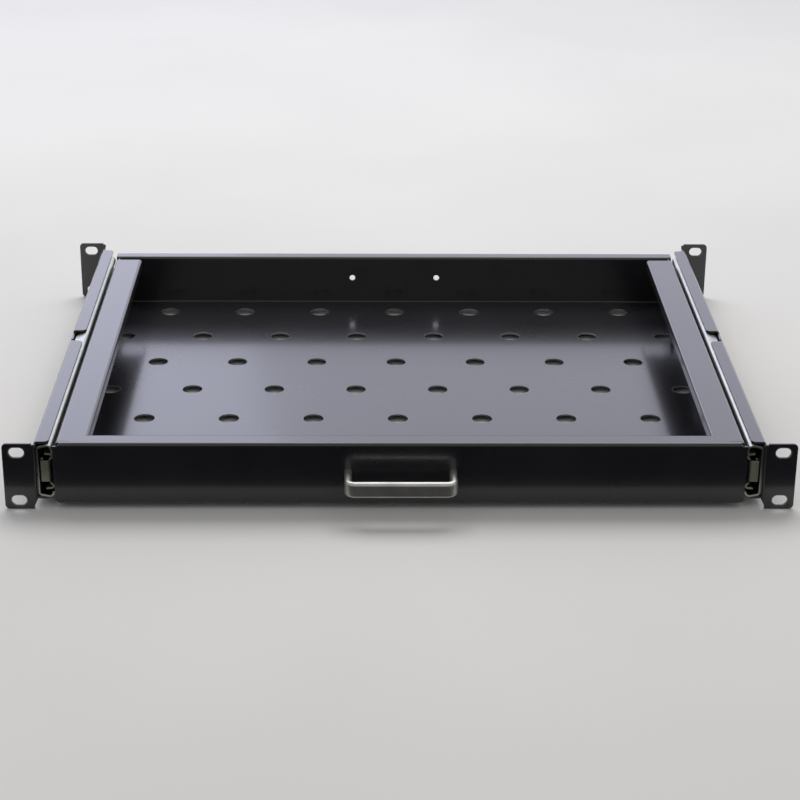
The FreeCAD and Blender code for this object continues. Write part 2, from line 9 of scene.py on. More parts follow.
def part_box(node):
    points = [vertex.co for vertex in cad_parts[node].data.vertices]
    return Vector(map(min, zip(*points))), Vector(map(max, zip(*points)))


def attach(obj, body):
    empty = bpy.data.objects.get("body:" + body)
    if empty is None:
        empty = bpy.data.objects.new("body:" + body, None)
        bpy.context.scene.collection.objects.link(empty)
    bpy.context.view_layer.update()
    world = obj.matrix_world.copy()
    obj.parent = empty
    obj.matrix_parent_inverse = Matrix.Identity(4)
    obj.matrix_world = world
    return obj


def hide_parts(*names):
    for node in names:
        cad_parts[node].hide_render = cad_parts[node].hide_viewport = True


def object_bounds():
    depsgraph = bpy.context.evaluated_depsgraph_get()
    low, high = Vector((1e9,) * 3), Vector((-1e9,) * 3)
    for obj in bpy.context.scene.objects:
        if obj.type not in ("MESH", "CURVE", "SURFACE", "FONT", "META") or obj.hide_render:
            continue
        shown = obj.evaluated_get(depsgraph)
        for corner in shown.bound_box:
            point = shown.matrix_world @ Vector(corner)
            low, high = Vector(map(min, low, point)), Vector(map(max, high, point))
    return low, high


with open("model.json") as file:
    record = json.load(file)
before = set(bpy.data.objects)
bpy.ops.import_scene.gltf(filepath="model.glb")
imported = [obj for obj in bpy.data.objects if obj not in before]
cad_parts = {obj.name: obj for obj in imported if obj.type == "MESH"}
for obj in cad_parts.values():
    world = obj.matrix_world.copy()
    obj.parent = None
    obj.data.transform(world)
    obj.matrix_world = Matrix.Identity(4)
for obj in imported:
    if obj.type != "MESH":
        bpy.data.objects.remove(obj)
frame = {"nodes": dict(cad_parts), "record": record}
cad_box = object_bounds()
nodes = frame["nodes"]

# Front brackets
# Two channels of 1.5 mm steel sheet, each with a rack ear folded out at the front, coated with
# black powder. The coat bakes to a fine orange peel and draws thin over every cut edge; those edges
# are a lighter grey, partly for the thin coat and partly as a painted highlight.
MM = 0.001
SIDES = ("left", "right")
SHEET_EDGE = 0.28 * MM
SAME_PLACE = 0.002 * MM
ROUNDING_STEPS = 3
CUT_EDGE_ANGLE = math.radians(50)
FOLD_ANGLE = math.radians(40)
COAT_TONES = ((0.0072, 0.0076, 0.0104, 1.0), (0.0113, 0.0119, 0.0162, 1.0))
COAT_ROUGHNESS = (0.25, 0.31)
EDGE_COAT_PAINTED_HIGHLIGHT_TONES = ((0.050, 0.050, 0.053, 1.0), (0.130, 0.130, 0.135, 1.0))
COAT_EDGE_ROUGHNESS = (0.26, 0.34)
COAT_REFRACTION = 1.55
COAT_SKIN = 0.8
COAT_SKIN_ROUGHNESS = 0.13
COAT_CLOUDS_PER_METRE = 17.0
COAT_PEEL_PER_METRE = 620.0
COAT_PEEL_HEIGHT = 0.04 * MM
COAT_GRAIN_PER_METRE = 2600.0
COAT_GRAIN_HEIGHT = 0.008 * MM


def add(tree, kind, sockets=None, **settings):
    """Adds a node with its settings; a named or numbered socket takes a value or a node's output."""
    made = tree.nodes.new(kind)
    for name, value in settings.items():
        setattr(made, name, value)
    for key, value in (sockets or {}).items():
        socket = made.inputs[key]
        if isinstance(value, bpy.types.NodeSocket):
            tree.links.new(value, socket)
        else:
            socket.default_value = value
    return made


def finish_of(name):
    """A new material and its empty node tree."""
    material = bpy.data.materials.new(name)
    material.use_nodes = True
    material.node_tree.nodes.clear()
    return material, material.node_tree


def own_place(tree):
    """Where a point lies on its own piece, in a material's tree."""
    return add(tree, "ShaderNodeTexCoord").outputs["Object"]


def noise(tree, place, scale=1.0, detail=2.0, roughness=0.5):
    """Soft noise between 0 and 1; its scale is in waves to a metre, unless the place is scaled."""
    return add(tree, "ShaderNodeTexNoise", {
        "Vector": place, "Scale": scale, "Detail": detail, "Roughness": roughness}).outputs[0]


def tones_between(tree, factor, tones, start, end):
    """A first colour that turns into a second one while a factor goes from start to end."""
    made = add(tree, "ShaderNodeValToRGB", {"Fac": factor})
    for element, place, tone in zip(made.color_ramp.elements, (start, end), tones):
        element.position = place
        element.color = tone
    return made.outputs["Color"]


def spread(tree, factor, ends):
    """A factor from 0 to 1 spread between two numbers."""
    low, high = ends
    return add(tree, "ShaderNodeMapRange", {
        "Value": factor, "To Min": low, "To Max": high}).outputs["Result"]


def bumps(tree, factor, strength, height, under=None):
    """The way that a surface faces where a factor raises it; under is a coarser relief below."""
    sockets = {"Height": factor, "Strength": strength, "Distance": height}
    if under is not None:
        sockets["Normal"] = under
    return add(tree, "ShaderNodeBump", sockets).outputs["Normal"]


def close_finish(tree, sockets):
    """Ends a material's tree in its shader."""
    surface = add(tree, "ShaderNodeBsdfPrincipled", sockets)
    add(tree, "ShaderNodeOutputMaterial", {"Surface": surface.outputs["BSDF"]})


def powder_coat(name, tones, roughness):
    """Baked powder: a fine orange peel over a soft cloudiness of tone and gloss."""
    material, tree = finish_of(name)
    place = own_place(tree)
    cloud = noise(tree, place, COAT_CLOUDS_PER_METRE, detail=5.0, roughness=0.6)
    peel = noise(tree, place, COAT_PEEL_PER_METRE, detail=2.0)
    grain = noise(tree, place, COAT_GRAIN_PER_METRE, detail=1.0)
    peel_relief = bumps(tree, peel, strength=0.25, height=COAT_PEEL_HEIGHT)
    close_finish(tree, {
        "Base Color": tones_between(tree, cloud, tones, start=0.3, end=0.75),
        "Roughness": spread(tree, cloud, roughness),
        "IOR": COAT_REFRACTION,
        "Normal": bumps(tree, grain, strength=0.18, height=COAT_GRAIN_HEIGHT, under=peel_relief),
        "Coat Weight": COAT_SKIN,
        "Coat Roughness": COAT_SKIN_ROUGHNESS,
        "Coat Normal": peel_relief,
    })
    return material


def geometry_tree(name, inputs):
    """New geometry tree with a geometry output and named inputs, each of a kind of socket."""
    tree = bpy.data.node_groups.new(name, "GeometryNodeTree")
    tree.interface.new_socket("Geometry", in_out="OUTPUT", socket_type="NodeSocketGeometry")
    for label, kind in inputs.items():
        tree.interface.new_socket(label, in_out="INPUT", socket_type="NodeSocket" + kind)
    return tree, add(tree, "NodeGroupInput").outputs


def shaded_smooth(tree, shape, crease=None):
    """Shades a shape smooth in a tree, apart from edges sharper than a crease, where there is one."""
    smooth = add(tree, "GeometryNodeSetShadeSmooth", {"Geometry": shape, "Shade Smooth": True}).outputs[0]
    if crease is None:
        return smooth
    angle = add(tree, "GeometryNodeInputMeshEdgeAngle").outputs["Unsigned Angle"]
    sharp = add(tree, "FunctionNodeCompare", {0: angle, 1: crease}, operation="GREATER_THAN")
    return add(tree, "GeometryNodeSetShadeSmooth", {
        "Geometry": smooth, "Selection": sharp.outputs["Result"], "Shade Smooth": False,
    }, domain="EDGE").outputs[0]


def smooth_folds():
    """Tree that shades folds smooth and leaves sharper edges as they are."""
    tree, sheet = geometry_tree("smooth_folds", {"Geometry": "Geometry"})
    add(tree, "NodeGroupOutput", {"Geometry": shaded_smooth(tree, sheet["Geometry"], FOLD_ANGLE)})
    return tree


folds_tree = smooth_folds()


def dress(node, edge, *finishes):
    """Gives a CAD node its finishes and rounds its cut edges; a second finish goes to those edges."""
    piece = nodes[node]
    piece.data.materials.clear()
    for finish in finishes:
        piece.data.materials.append(finish)
    weld = piece.modifiers.new("joined_facets", "WELD")
    weld.merge_threshold = SAME_PLACE
    round_off = piece.modifiers.new("rounded_edges", "BEVEL")
    round_off.width = edge
    round_off.segments = ROUNDING_STEPS
    round_off.limit_method = "ANGLE"
    round_off.angle_limit = CUT_EDGE_ANGLE
    round_off.use_clamp_overlap = False
    round_off.loop_slide = False
    round_off.material = len(finishes) - 1
    folds = piece.modifiers.new("smooth_folds", "NODES")
    folds.node_group = folds_tree
    flats = piece.modifiers.new("flat_faces", "WEIGHTED_NORMAL")
    flats.keep_sharp = True


coat = powder_coat("black_powder_coat", COAT_TONES, COAT_ROUGHNESS)
# Cut edges get a lighter grey coat: partly the thin powder there, partly a painted highlight.
edge_coat_with_painted_highlight = powder_coat("powder_coat_at_edges_with_painted_highlight", EDGE_COAT_PAINTED_HIGHLIGHT_TONES, COAT_EDGE_ROUGHNESS)
for side in SIDES:
    dress(side + "_front_bracket", SHEET_EDGE, coat, edge_coat_with_painted_highlight)

# Front ear slots
# Two long slots with round ends, punched in each front ear for the rack's screws. The baked powder
# lines each of them with a thin, rounded rim, in the lighter edge grey that carries a painted highlight.
mounts = {mount["name"]: mount for mount in frame["record"]["mounts"]}
ear_slots = mounts["front_rack_ears"]["dims"]
SLOT_X = ear_slots["spacing_x_mm"] / 2 * MM
SLOT_Z = ear_slots["spacing_y_mm"] / 2 * MM
SLOT_LENGTH = ear_slots["slot_length_mm"] * MM
SLOT_WIDTH = 2 * ear_slots["hole_r_mm"] * MM
BRACKET_SHEET = 1.5 * MM
COAT_FILM = 0.03 * MM
RIM_ROUNDING = 0.35 * MM
RIM_ROUNDINGS_ACROSS = 2.02
RIM_STEPS = 64
RIM_CORNER_STEPS = 5


def work_out(tree, operation, *values):
    """Result of one sum in a tree, from numbers or other nodes' outputs."""
    return add(tree, "ShaderNodeMath", dict(enumerate(values)), operation=operation).outputs[0]


def product(tree, *values):
    """Numbers or other nodes' outputs multiplied together in a tree."""
    result = values[0]
    for value in values[1:]:
        result = work_out(tree, "MULTIPLY", result, value)
    return result


def vector(tree, **axes):
    """A vector in a tree from its X, Y and Z, where those that aren't given are 0."""
    return add(tree, "ShaderNodeCombineXYZ", axes).outputs[0]


def axes_of_points(tree):
    """The X, Y and Z of each point of the shape that a tree is working on."""
    place = add(tree, "GeometryNodeInputPosition").outputs[0]
    return add(tree, "ShaderNodeSeparateXYZ", {0: place}).outputs


def copies_on_points(tree, size, shape, aimed=True, crease=None):
    """Ends a tree in copies of a shape on its points, made real, smooth and of one finish."""
    sockets = {"Points": size["Points"], "Instance": shape}
    if aimed:
        aim = add(tree, "GeometryNodeInputNamedAttribute", {"Name": "aim"}, data_type="FLOAT_VECTOR")
        turn = add(tree, "FunctionNodeAlignRotationToVector", {"Vector": aim.outputs[0]}, axis="Z")
        sockets["Rotation"] = turn.outputs[0]
    copies = add(tree, "GeometryNodeInstanceOnPoints", sockets).outputs[0]
    real = add(tree, "GeometryNodeRealizeInstances", {"Geometry": copies}).outputs[0]
    smooth = shaded_smooth(tree, real, crease)
    finished = add(tree, "GeometryNodeSetMaterial", {"Geometry": smooth, "Material": size["Finish"]})
    add(tree, "NodeGroupOutput", {"Geometry": finished.outputs[0]})


def opening_rims():
    """Tree of rounded rims that line openings with round ends, one at each point, facing its aim."""
    tree, size = geometry_tree("opening_rims", {
        "Points": "Geometry", "Length": "Float", "Width": "Float", "Sheet": "Float", "Film": "Float",
        "Rounding": "Float", "Finish": "Material"})
    end_radius = product(tree, size["Width"], 0.5)
    circle = add(tree, "GeometryNodeCurvePrimitiveCircle", {
        "Resolution": RIM_STEPS, "Radius": end_radius}).outputs["Curve"]
    reach = product(tree, work_out(tree, "SUBTRACT", size["Length"], size["Width"]), 0.5)
    shift = product(tree, work_out(tree, "SIGN", axes_of_points(tree)["X"]), reach)
    path = add(tree, "GeometryNodeSetPosition", {"Geometry": circle, "Offset": vector(tree, X=shift)})
    upright = add(tree, "GeometryNodeSetCurveNormal", {"Curve": path.outputs[0]}, mode="Z_UP")
    section = add(tree, "GeometryNodeCurvePrimitiveQuadrilateral", {
        "Width": product(tree, size["Rounding"], RIM_ROUNDINGS_ACROSS),
        "Height": work_out(tree, "MULTIPLY_ADD", size["Film"], 2.0, size["Sheet"])})
    rounded = add(tree, "GeometryNodeFilletCurve", {
        "Curve": section.outputs["Curve"], "Count": RIM_CORNER_STEPS, "Radius": size["Rounding"],
        "Limit Radius": True}, mode="POLY")
    rim = add(tree, "GeometryNodeCurveToMesh", {
        "Curve": upright.outputs[0], "Profile Curve": rounded.outputs[0]}).outputs["Mesh"]
    copies_on_points(tree, size, rim)
    return tree


def grown(name, tree, sizes, points, aims=None):
    """Piece that a tree grows on points, as a plain mesh; aims are the ways that its copies face."""
    seed = bpy.data.meshes.new(name)
    seed.from_pydata(points, [], [])
    if aims:
        aim = seed.attributes.new("aim", "FLOAT_VECTOR", "POINT")
        aim.data.foreach_set("vector", [value for way in aims for value in way])
    piece = bpy.data.objects.new(name, seed)
    bpy.context.scene.collection.objects.link(piece)
    growth = piece.modifiers.new("growth", "NODES")
    growth.node_group = tree
    for item in tree.interface.items_tree:
        if item.in_out == "INPUT" and item.name in sizes:
            growth[item.identifier] = sizes[item.name]
    view = bpy.context.evaluated_depsgraph_get()
    mesh = bpy.data.meshes.new_from_object(piece.evaluated_get(view), depsgraph=view)
    piece.modifiers.remove(growth)
    piece.data = mesh
    return piece


rims_tree = opening_rims()


def coat_rims(name, body, length, width, sheet, places, aim):
    """Rims of coat that line the openings of a sheet at places, and ride with its body."""
    # The rims take the lighter edge grey, a painted highlight round each opening.
    rims = grown(name, rims_tree, {
        "Length": length, "Width": width, "Sheet": sheet, "Film": COAT_FILM,
        "Rounding": RIM_ROUNDING, "Finish": edge_coat_with_painted_highlight}, places, [aim] * len(places))
    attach(rims, body)


def slot_rims(name, body, places):
    """Rims of coat in the slots of rack ears, whose middles are at places."""
    coat_rims(name, body, SLOT_LENGTH, SLOT_WIDTH, BRACKET_SHEET, places, (0, -1, 0))


slot_rims("front_slot_rims", "frame", [
    (x * SLOT_X, BRACKET_SHEET / 2, z * SLOT_Z) for x in (-1, 1) for z in (-1, 1)])

# Slide outer members
# Roll-formed channels of 1.2 mm steel with bright zinc plate, screwed inside the brackets. The
# rolls leave fine streaks along them; the curled lips are the races of two rows of balls.
SLIDE_EDGE = 0.16 * MM
ZINC_TONES = ((0.50, 0.52, 0.50, 1.0), (0.64, 0.64, 0.56, 1.0))
ZINC_BLOOM_PER_METRE = 60.0
ZINC_STREAK_HEIGHT = 0.01 * MM
ROLLED_GRAIN = (900.0, 9.0, 900.0)
ROLLED_ROUGHNESS = (0.20, 0.42)


def zinc_plate(name, tones, grain, roughness):
    """Zinc plate: streaks along its grain and a faint passivation bloom between two tones."""
    material, tree = finish_of(name)
    place = own_place(tree)
    along_grain = add(tree, "ShaderNodeMapping", {"Vector": place, "Scale": grain}).outputs["Vector"]
    streak = noise(tree, along_grain, detail=6.0, roughness=0.65)
    bloom = noise(tree, place, ZINC_BLOOM_PER_METRE, detail=4.0)
    close_finish(tree, {
        "Base Color": tones_between(tree, bloom, tones, start=0.35, end=0.7),
        "Metallic": 1.0,
        "Roughness": spread(tree, streak, roughness),
        "Normal": bumps(tree, streak, strength=0.2, height=ZINC_STREAK_HEIGHT),
    })
    return material


rolled_zinc = zinc_plate("rolled_zinc_plate", ZINC_TONES, ROLLED_GRAIN, ROLLED_ROUGHNESS)
for side in SIDES:
    dress(side + "_slide_outer_member", SLIDE_EDGE, rolled_zinc)

# Front bracket screws
# Pan-head machine screws with a cross recess, turned from steel and zinc plated, driven from
# outside through each front bracket into its slide. Four of them, two to a side.
FRONT_SCREW_RISE = 1.9 * MM
SCREW_SHANK = 4.0 * MM
SCREW_PITCH = 0.7 * MM
THREAD_DEPTH = 0.12 * MM
HEAD_SIDES = 40
HEAD_RINGS = 28
HEAD_CURVE = 0.5  # power on a ball's curve: 1 keeps the ball, less makes a fuller pan
HEAD_POLE = 0.000001  # least distance from the axis, squared, so that the poles can be divided by it
RECESS_LENGTH_TO_HEAD = 0.56
RECESS_WIDTH_TO_HEAD = 0.13
RECESS_BAR_TO_RISE = 1.3
SHANK_SIDES = 28
SHANK_STEPS = 36
POINT_SHARE = 0.2  # share of the shank's length that narrows to the point
POINT_BLUNTNESS = 0.06  # part of that share that is left off at the tip
POINT_SOFTNESS = 0.05
POINT_SLOPE = 2.5 * MM
SCREW_CREASE = math.radians(35)
TURNED_GRAIN = (400.0, 400.0, 400.0)
TURNED_ROUGHNESS = (0.22, 0.36)


def solids_of(node):
    """Low and high corners of the box round each separate solid of a CAD node."""
    body = bmesh.new()
    body.from_mesh(nodes[node].data)
    bmesh.ops.remove_doubles(body, verts=body.verts, dist=SAME_PLACE)
    waiting = set(body.verts)
    boxes = []
    while waiting:
        edge_of_solid = [waiting.pop()]
        places = []
        while edge_of_solid:
            vertex = edge_of_solid.pop()
            places.append(vertex.co.copy())
            near = {edge.other_vert(vertex) for edge in vertex.link_edges} & waiting
            waiting -= near
            edge_of_solid += near
        axes = list(zip(*places))
        boxes.append((Vector([min(axis) for axis in axes]), Vector([max(axis) for axis in axes])))
    body.free()
    return sorted(boxes, key=lambda box: tuple(box[0]))


def moved_to(tree, shape, place):
    """A shape in a tree with each of its points moved to a place."""
    return add(tree, "GeometryNodeSetPosition", {"Geometry": shape, "Position": place}).outputs[0]


def pan_head(tree, size):
    """A head in a tree: a ball pressed to a flat-seated pan, with a cross cut into its top."""
    axes = axes_of_points(tree)
    ball = add(tree, "GeometryNodeMeshUVSphere", {
        "Segments": HEAD_SIDES, "Rings": HEAD_RINGS, "Radius": 1.0}).outputs["Mesh"]
    out_square = work_out(tree, "SUBTRACT", 1.0, product(tree, axes["Z"], axes["Z"]))
    out = work_out(tree, "SQRT", work_out(tree, "MAXIMUM", out_square, HEAD_POLE))
    fuller_out = work_out(tree, "POWER", out, HEAD_CURVE)
    widen = work_out(tree, "DIVIDE", product(tree, fuller_out, size["Head"], 0.5), out)
    up = work_out(tree, "MAXIMUM", axes["Z"], 0.0)
    fuller_up = work_out(tree, "POWER", up, HEAD_CURVE)
    pan = moved_to(tree, ball, vector(
        tree, X=product(tree, axes["X"], widen), Y=product(tree, axes["Y"], widen),
        Z=product(tree, fuller_up, size["Rise"])))
    closed = add(tree, "GeometryNodeMergeByDistance", {"Geometry": pan, "Distance": SAME_PLACE})

    bar_size = vector(
        tree, X=product(tree, size["Head"], RECESS_LENGTH_TO_HEAD),
        Y=product(tree, size["Head"], RECESS_WIDTH_TO_HEAD),
        Z=product(tree, size["Rise"], RECESS_BAR_TO_RISE))
    top = vector(tree, Z=size["Rise"])
    cross = add(tree, "GeometryNodeMeshBoolean", operation="UNION", solver="EXACT")
    for turn in (0.0, math.pi / 2):
        bar = add(tree, "GeometryNodeMeshCube", {"Size": bar_size}).outputs["Mesh"]
        raised = add(tree, "GeometryNodeTransform", {
            "Geometry": bar, "Translation": top, "Rotation": (0.0, 0.0, turn)}).outputs[0]
        tree.links.new(raised, cross.inputs["Mesh 2"])
    return add(tree, "GeometryNodeMeshBoolean", {
        "Mesh 1": closed.outputs[0], "Mesh 2": cross.outputs["Mesh"],
    }, operation="DIFFERENCE", solver="EXACT").outputs["Mesh"]


def threaded_shank(tree, size):
    """A shank in a tree: a rod whose sides rise and fall along a helix and narrow to a blunt point."""
    axes = axes_of_points(tree)
    rod = add(tree, "GeometryNodeMeshCylinder", {
        "Vertices": SHANK_SIDES, "Side Segments": SHANK_STEPS, "Radius": 1.0, "Depth": 1.0,
    }, fill_type="NGON").outputs["Mesh"]
    depth = product(tree, work_out(tree, "SUBTRACT", axes["Z"], 0.5), size["Length"])
    angle = work_out(tree, "ARCTAN2", axes["Y"], axes["X"])
    turns = work_out(tree, "ADD", work_out(tree, "DIVIDE", depth, size["Pitch"]),
                     work_out(tree, "DIVIDE", angle, 2 * math.pi))
    groove = product(tree, size["Thread"], 2.0, work_out(tree, "PINGPONG", turns, 0.5))
    above_end = work_out(tree, "ADD", axes["Z"], 0.5 + POINT_BLUNTNESS)
    full = work_out(tree, "SMOOTH_MIN", above_end, POINT_SHARE, POINT_SOFTNESS)
    narrowing = product(tree, work_out(tree, "SUBTRACT", POINT_SHARE, full), POINT_SLOPE)
    threaded = work_out(tree, "SUBTRACT", product(tree, size["Shank"], 0.5), groove)
    radius = work_out(tree, "SUBTRACT", threaded, narrowing)
    return moved_to(tree, rod, vector(
        tree, X=product(tree, axes["X"], radius), Y=product(tree, axes["Y"], radius), Z=depth))


def pan_head_screws():
    """Tree of cross-recessed pan-head screws: each seats on its point, head towards its aim."""
    tree, size = geometry_tree("pan_head_screws", {
        "Points": "Geometry", "Head": "Float", "Rise": "Float", "Shank": "Float", "Length": "Float",
        "Pitch": "Float", "Thread": "Float", "Finish": "Material"})
    screw = add(tree, "GeometryNodeJoinGeometry")
    for part in (pan_head(tree, size), threaded_shank(tree, size)):
        tree.links.new(part, screw.inputs["Geometry"])
    copies_on_points(tree, size, screw.outputs[0], crease=SCREW_CREASE)
    return tree


screws_tree = pan_head_screws()
turned_zinc = zinc_plate("turned_zinc_plate", ZINC_TONES, TURNED_GRAIN, TURNED_ROUGHNESS)


def outwards(place):
    """The way from the middle of the rack to the side where a place is."""
    return Vector((math.copysign(1.0, place.x), 0.0, 0.0))


def screws(name, node, body, rise, shank, way):
    """Screws in place of a CAD node of plain ones, as long and as wide; way gives where a head looks."""
    boxes = solids_of(node)
    middles = [(low + high) / 2 for low, high in boxes]
    aims = [way(middle) for middle in middles]
    half = (boxes[0][1] - boxes[0][0]) / 2
    reach = abs(half.dot(aims[0]))
    head = 2 * max(size for size, along in zip(half, aims[0]) if not along)
    seats = [middle + aim * (reach - rise) for middle, aim in zip(middles, aims)]
    piece = grown(name, screws_tree, {
        "Head": head, "Rise": rise, "Shank": shank, "Length": 2 * reach - rise, "Pitch": SCREW_PITCH,
        "Thread": THREAD_DEPTH, "Finish": turned_zinc}, seats, aims)
    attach(piece, body)
    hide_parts(node)


screws("front_screws", "front_bracket_screws", "frame", FRONT_SCREW_RISE, SCREW_SHANK, outwards)

# Slide bumpers
# Small blocks of moulded black rubber on the rear tabs of the outer members, which stop the tray
# softly when it is pushed home.
BUMPER_EDGE = 0.2 * MM
RUBBER_TONES = ((0.010, 0.010, 0.010, 1.0), (0.026, 0.025, 0.024, 1.0))
RUBBER_ROUGHNESS = (0.62, 0.85)
RUBBER_BLOOM_PER_METRE = 300.0
PEBBLES_PER_METRE = 2200.0
PEBBLE_HEIGHT = 0.03 * MM


def moulded_rubber():
    """Matt rubber with a fine pebble and a little chalky bloom."""
    material, tree = finish_of("moulded_rubber")
    place = own_place(tree)
    pebble = add(tree, "ShaderNodeTexVoronoi", {"Vector": place, "Scale": PEBBLES_PER_METRE})
    bloom = noise(tree, place, RUBBER_BLOOM_PER_METRE, detail=3.0)
    close_finish(tree, {
        "Base Color": tones_between(tree, bloom, RUBBER_TONES, start=0.4, end=0.8),
        "Roughness": spread(tree, bloom, RUBBER_ROUGHNESS),
        "Normal": bumps(tree, pebble.outputs["Distance"], strength=0.3, height=PEBBLE_HEIGHT),
    })
    return material


rubber = moulded_rubber()
for side in SIDES:
    dress(side + "_slide_bumper", BUMPER_EDGE, rubber)

# Rear brackets with their clamp screws
# The same coated channels with their ears at the rear. A long slot in each web lets it move back
# along the slide; two screws with plain washers clamp it where it is set.
REAR_EAR_Y = mounts["rear_rack_ears"]["pos_m"][1]
CLAMP_SCREW_RISE = 1.5 * MM
WASHER_EDGE = 0.08 * MM

for side, x in zip(SIDES, (-SLOT_X, SLOT_X)):
    dress(side + "_rear_bracket", SHEET_EDGE, coat, edge_coat_with_painted_highlight)
    slot_rims(side + "_rear_slot_rims", side + "_rear_support", [
        (x, REAR_EAR_Y - BRACKET_SHEET / 2, z * SLOT_Z) for z in (-1, 1)])
dress("rear_clamp_washers", WASHER_EDGE, turned_zinc)
screws("clamp_screws", "rear_clamp_screws", "frame", CLAMP_SCREW_RISE, SCREW_SHANK, outwards)

# Ball cages and balls
# Pressed steel strips that space two rows of hardened steel balls in each slide. They roll half
# as far as the tray moves.
CAGE_EDGE = 0.06 * MM
CAGE_TONES = ((0.34, 0.35, 0.36, 1.0), (0.52, 0.52, 0.50, 1.0))
CAGE_ROUGHNESS = (0.30, 0.45)
CAGE_CLOUDS_PER_METRE = 120.0
BALL_RADIUS = 2.0 * MM
BALL_DIVISIONS = 4
BALL_TONES = ((0.60, 0.61, 0.63, 1.0), (0.76, 0.77, 0.78, 1.0))
BALL_ROUGHNESS = (0.06, 0.14)
BALL_CLOUDS_PER_METRE = 400.0
STEEL_RELIEF_HEIGHT = 0.004 * MM


def clouded_steel(name, tones, roughness, clouds_per_metre):
    """Bare steel whose tone and polish vary softly."""
    material, tree = finish_of(name)
    cloud = noise(tree, own_place(tree), clouds_per_metre, detail=5.0, roughness=0.6)
    close_finish(tree, {
        "Base Color": tones_between(tree, cloud, tones, start=0.3, end=0.7),
        "Metallic": 1.0,
        "Roughness": spread(tree, cloud, roughness),
        "Normal": bumps(tree, cloud, strength=0.1, height=STEEL_RELIEF_HEIGHT),
    })
    return material


def polished_balls():
    """Tree of balls, one at each point."""
    tree, size = geometry_tree("polished_balls", {
        "Points": "Geometry", "Radius": "Float", "Finish": "Material"})
    ball = add(tree, "GeometryNodeMeshIcoSphere", {
        "Radius": size["Radius"], "Subdivisions": BALL_DIVISIONS}).outputs["Mesh"]
    copies_on_points(tree, size, ball, aimed=False)
    return tree


cage_steel = clouded_steel("pressed_cage_steel", CAGE_TONES, CAGE_ROUGHNESS, CAGE_CLOUDS_PER_METRE)
for side in SIDES:
    dress(side + "_ball_cage", CAGE_EDGE, cage_steel)
ball_steel = clouded_steel("hardened_ball_steel", BALL_TONES, BALL_ROUGHNESS, BALL_CLOUDS_PER_METRE)
balls = grown("hardened_balls", polished_balls(), {"Radius": BALL_RADIUS, "Finish": ball_steel},
              [(low + high) / 2 for low, high in solids_of("slide_balls")])
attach(balls, "ball_cages")
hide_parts("slide_balls")

# Slide inner members
# Narrower roll-formed channels of zinc-plated steel, screwed to the tray's walls, with a tab bent
# across at each end. Their zinc is painted darker and olive, as painted shade for the gap they sit in.
INNER_ZINC_PAINTED_SHADE_TONES = ((0.30, 0.31, 0.24, 1.0), (0.46, 0.46, 0.37, 1.0))
INNER_ZINC_GRAIN = (700.0, 9.0, 700.0)
INNER_ZINC_ROUGHNESS = (0.34, 0.56)

# The darker olive tone is painted shade for the gap between the outer member and the tray's wall.
inner_zinc_with_painted_shade = zinc_plate("inner_zinc_plate_with_painted_shade", INNER_ZINC_PAINTED_SHADE_TONES, INNER_ZINC_GRAIN, INNER_ZINC_ROUGHNESS)
for side in SIDES:
    dress(side + "_slide_inner_member", SLIDE_EDGE, inner_zinc_with_painted_shade)

# Tray
# One folded pan of 1.2 mm steel with the same black powder coat. Its floor is punched with
# staggered rows of 14 mm holes, which the coat lines with the same rounded rims and their painted
# highlight.
TRAY_EDGE = 0.06 * MM
TRAY_SHEET = 1.2 * MM
FLOOR_MIDDLE_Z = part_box("tray_pan")[0].z + TRAY_SHEET / 2
HOLE_DIAMETER = 14.0 * MM
HOLE_PITCH_X = 56.4 * MM
HOLE_PITCH_Y = 50.0 * MM
HOLE_ROWS = 7
HOLES_IN_LONG_ROW = 8
HOLES_MIDDLE_Y = 177.4 * MM

dress("tray_pan", TRAY_EDGE, coat, edge_coat_with_painted_highlight)


def staggered_points():
    """Tree of points in rows, every second row moved half a pitch and one point shorter."""
    tree, size = geometry_tree("staggered_points", {
        "Pitch X": "Float", "Pitch Y": "Float", "Rows": "Int", "In Row": "Int", "Middle": "Vector"})
    wide = product(tree, work_out(tree, "SUBTRACT", size["In Row"], 1.0), size["Pitch X"])
    deep = product(tree, work_out(tree, "SUBTRACT", size["Rows"], 1.0), size["Pitch Y"])
    grid = add(tree, "GeometryNodeMeshGrid", {
        "Size X": wide, "Size Y": deep, "Vertices X": size["In Row"], "Vertices Y": size["Rows"],
    }).outputs["Mesh"]
    axes = axes_of_points(tree)
    from_front = work_out(tree, "MULTIPLY_ADD", deep, 0.5, axes["Y"])
    row = work_out(tree, "DIVIDE", from_front, size["Pitch Y"])
    even = work_out(tree, "COMPARE", work_out(tree, "PINGPONG", row, 1.0), 0.0, 0.1)
    shift = product(tree, even, 0.5, size["Pitch X"])
    moved = add(tree, "GeometryNodeSetPosition", {"Geometry": grid, "Offset": vector(tree, X=shift)})
    quarter = product(tree, size["Pitch X"], 0.25)
    limit = work_out(tree, "MULTIPLY_ADD", wide, 0.5, quarter)
    beyond = add(tree, "FunctionNodeCompare", {0: axes["X"], 1: limit}, operation="GREATER_THAN")
    kept = add(tree, "GeometryNodeDeleteGeometry", {
        "Geometry": moved.outputs[0], "Selection": beyond.outputs["Result"]}).outputs[0]
    placed = add(tree, "GeometryNodeTransform", {"Geometry": kept, "Translation": size["Middle"]})
    points = add(tree, "GeometryNodeMeshToPoints", {"Mesh": placed.outputs[0]}).outputs[0]
    loose = add(tree, "GeometryNodePointsToVertices", {"Points": points}).outputs[0]
    add(tree, "NodeGroupOutput", {"Geometry": loose})
    return tree


